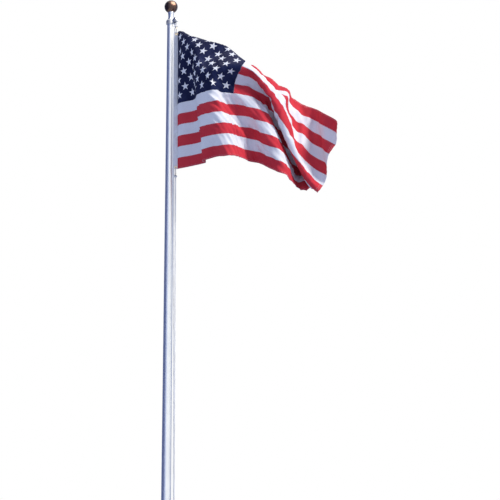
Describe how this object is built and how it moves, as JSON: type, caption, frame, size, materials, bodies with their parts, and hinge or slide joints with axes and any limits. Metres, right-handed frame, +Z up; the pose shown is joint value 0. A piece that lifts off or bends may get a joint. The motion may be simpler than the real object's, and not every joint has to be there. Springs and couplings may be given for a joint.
{
  "type": "flagpole",
  "caption": "Tapered aluminium flagpole on a cast shoe base, with ball finial, pulley truck, rope halyard, horn cleat and a cotton-headed flag on snap hooks.",
  "frame": {"origin": "middle of the shoe base's underside, at ground level", "axes": "+Z up the pole's axis, +X the way the flag flies and the side of the cleat"},
  "size_m": [1.1468, 0.5187, 6.239],
  "materials": {
    "satin_aluminium": "satin",
    "cast_aluminium": "as cast, brushed",
    "turned_aluminium": "fine turned",
    "gold_anodised": "anodised gloss",
    "stainless_steel": "brushed",
    "nylon_sheave": "moulded",
    "white_rope": "braided",
    "canvas_heading": "woven canvas",
    "flag_cloth": "woven nylon",
    "brass_grommet": "rolled",
    "plated_snap": "nickel plated"
  },
  "bodies": {
    "pole": {"shoe_base": "cast_aluminium", "pole_shaft": "satin_aluminium", "truck_cap": "cast_aluminium", "sheave_pin": "stainless_steel", "truck_neck": "turned_aluminium", "ball_stem": "turned_aluminium", "ball_lower_half": "gold_anodised", "ball_upper_half": "gold_anodised", "cleat": "cast_aluminium", "halyard_hoist_fall": "white_rope", "halyard_return_fall": "white_rope", "halyard_over_sheave": "white_rope", "halyard_cleat_turns": "white_rope"},
    "sheave": {"truck_sheave": "nylon_sheave"},
    "flag": {"flag_cloth": "flag_cloth", "flag_heading": "canvas_heading", "grommet_upper": "brass_grommet", "grommet_lower": "brass_grommet", "snap_upper_eye": "plated_snap", "snap_upper_hook": "plated_snap", "snap_upper_gate": "plated_snap", "snap_lower_eye": "plated_snap", "snap_lower_hook": "plated_snap", "snap_lower_gate": "plated_snap", "hitch_upper": "white_rope", "hitch_lower": "white_rope"}
  },
  "joints": [
    {"name": "flag_hoist", "type": "slide", "parent": "pole", "child": "flag", "axis": [0.005, 0.0073, -1], "range_m": [0, 3.5]},
    {"name": "sheave_spin", "type": "hinge", "parent": "pole", "child": "sheave", "pos_m": [0.02795, -0.03847, 6.088], "axis": [0.809, 0.5878, 0], "continuous": true}
  ],
  "couplings": [
    {"joint": "sheave_spin", "follows": "flag_hoist", "rad_per_m": 86.957}
  ]
}
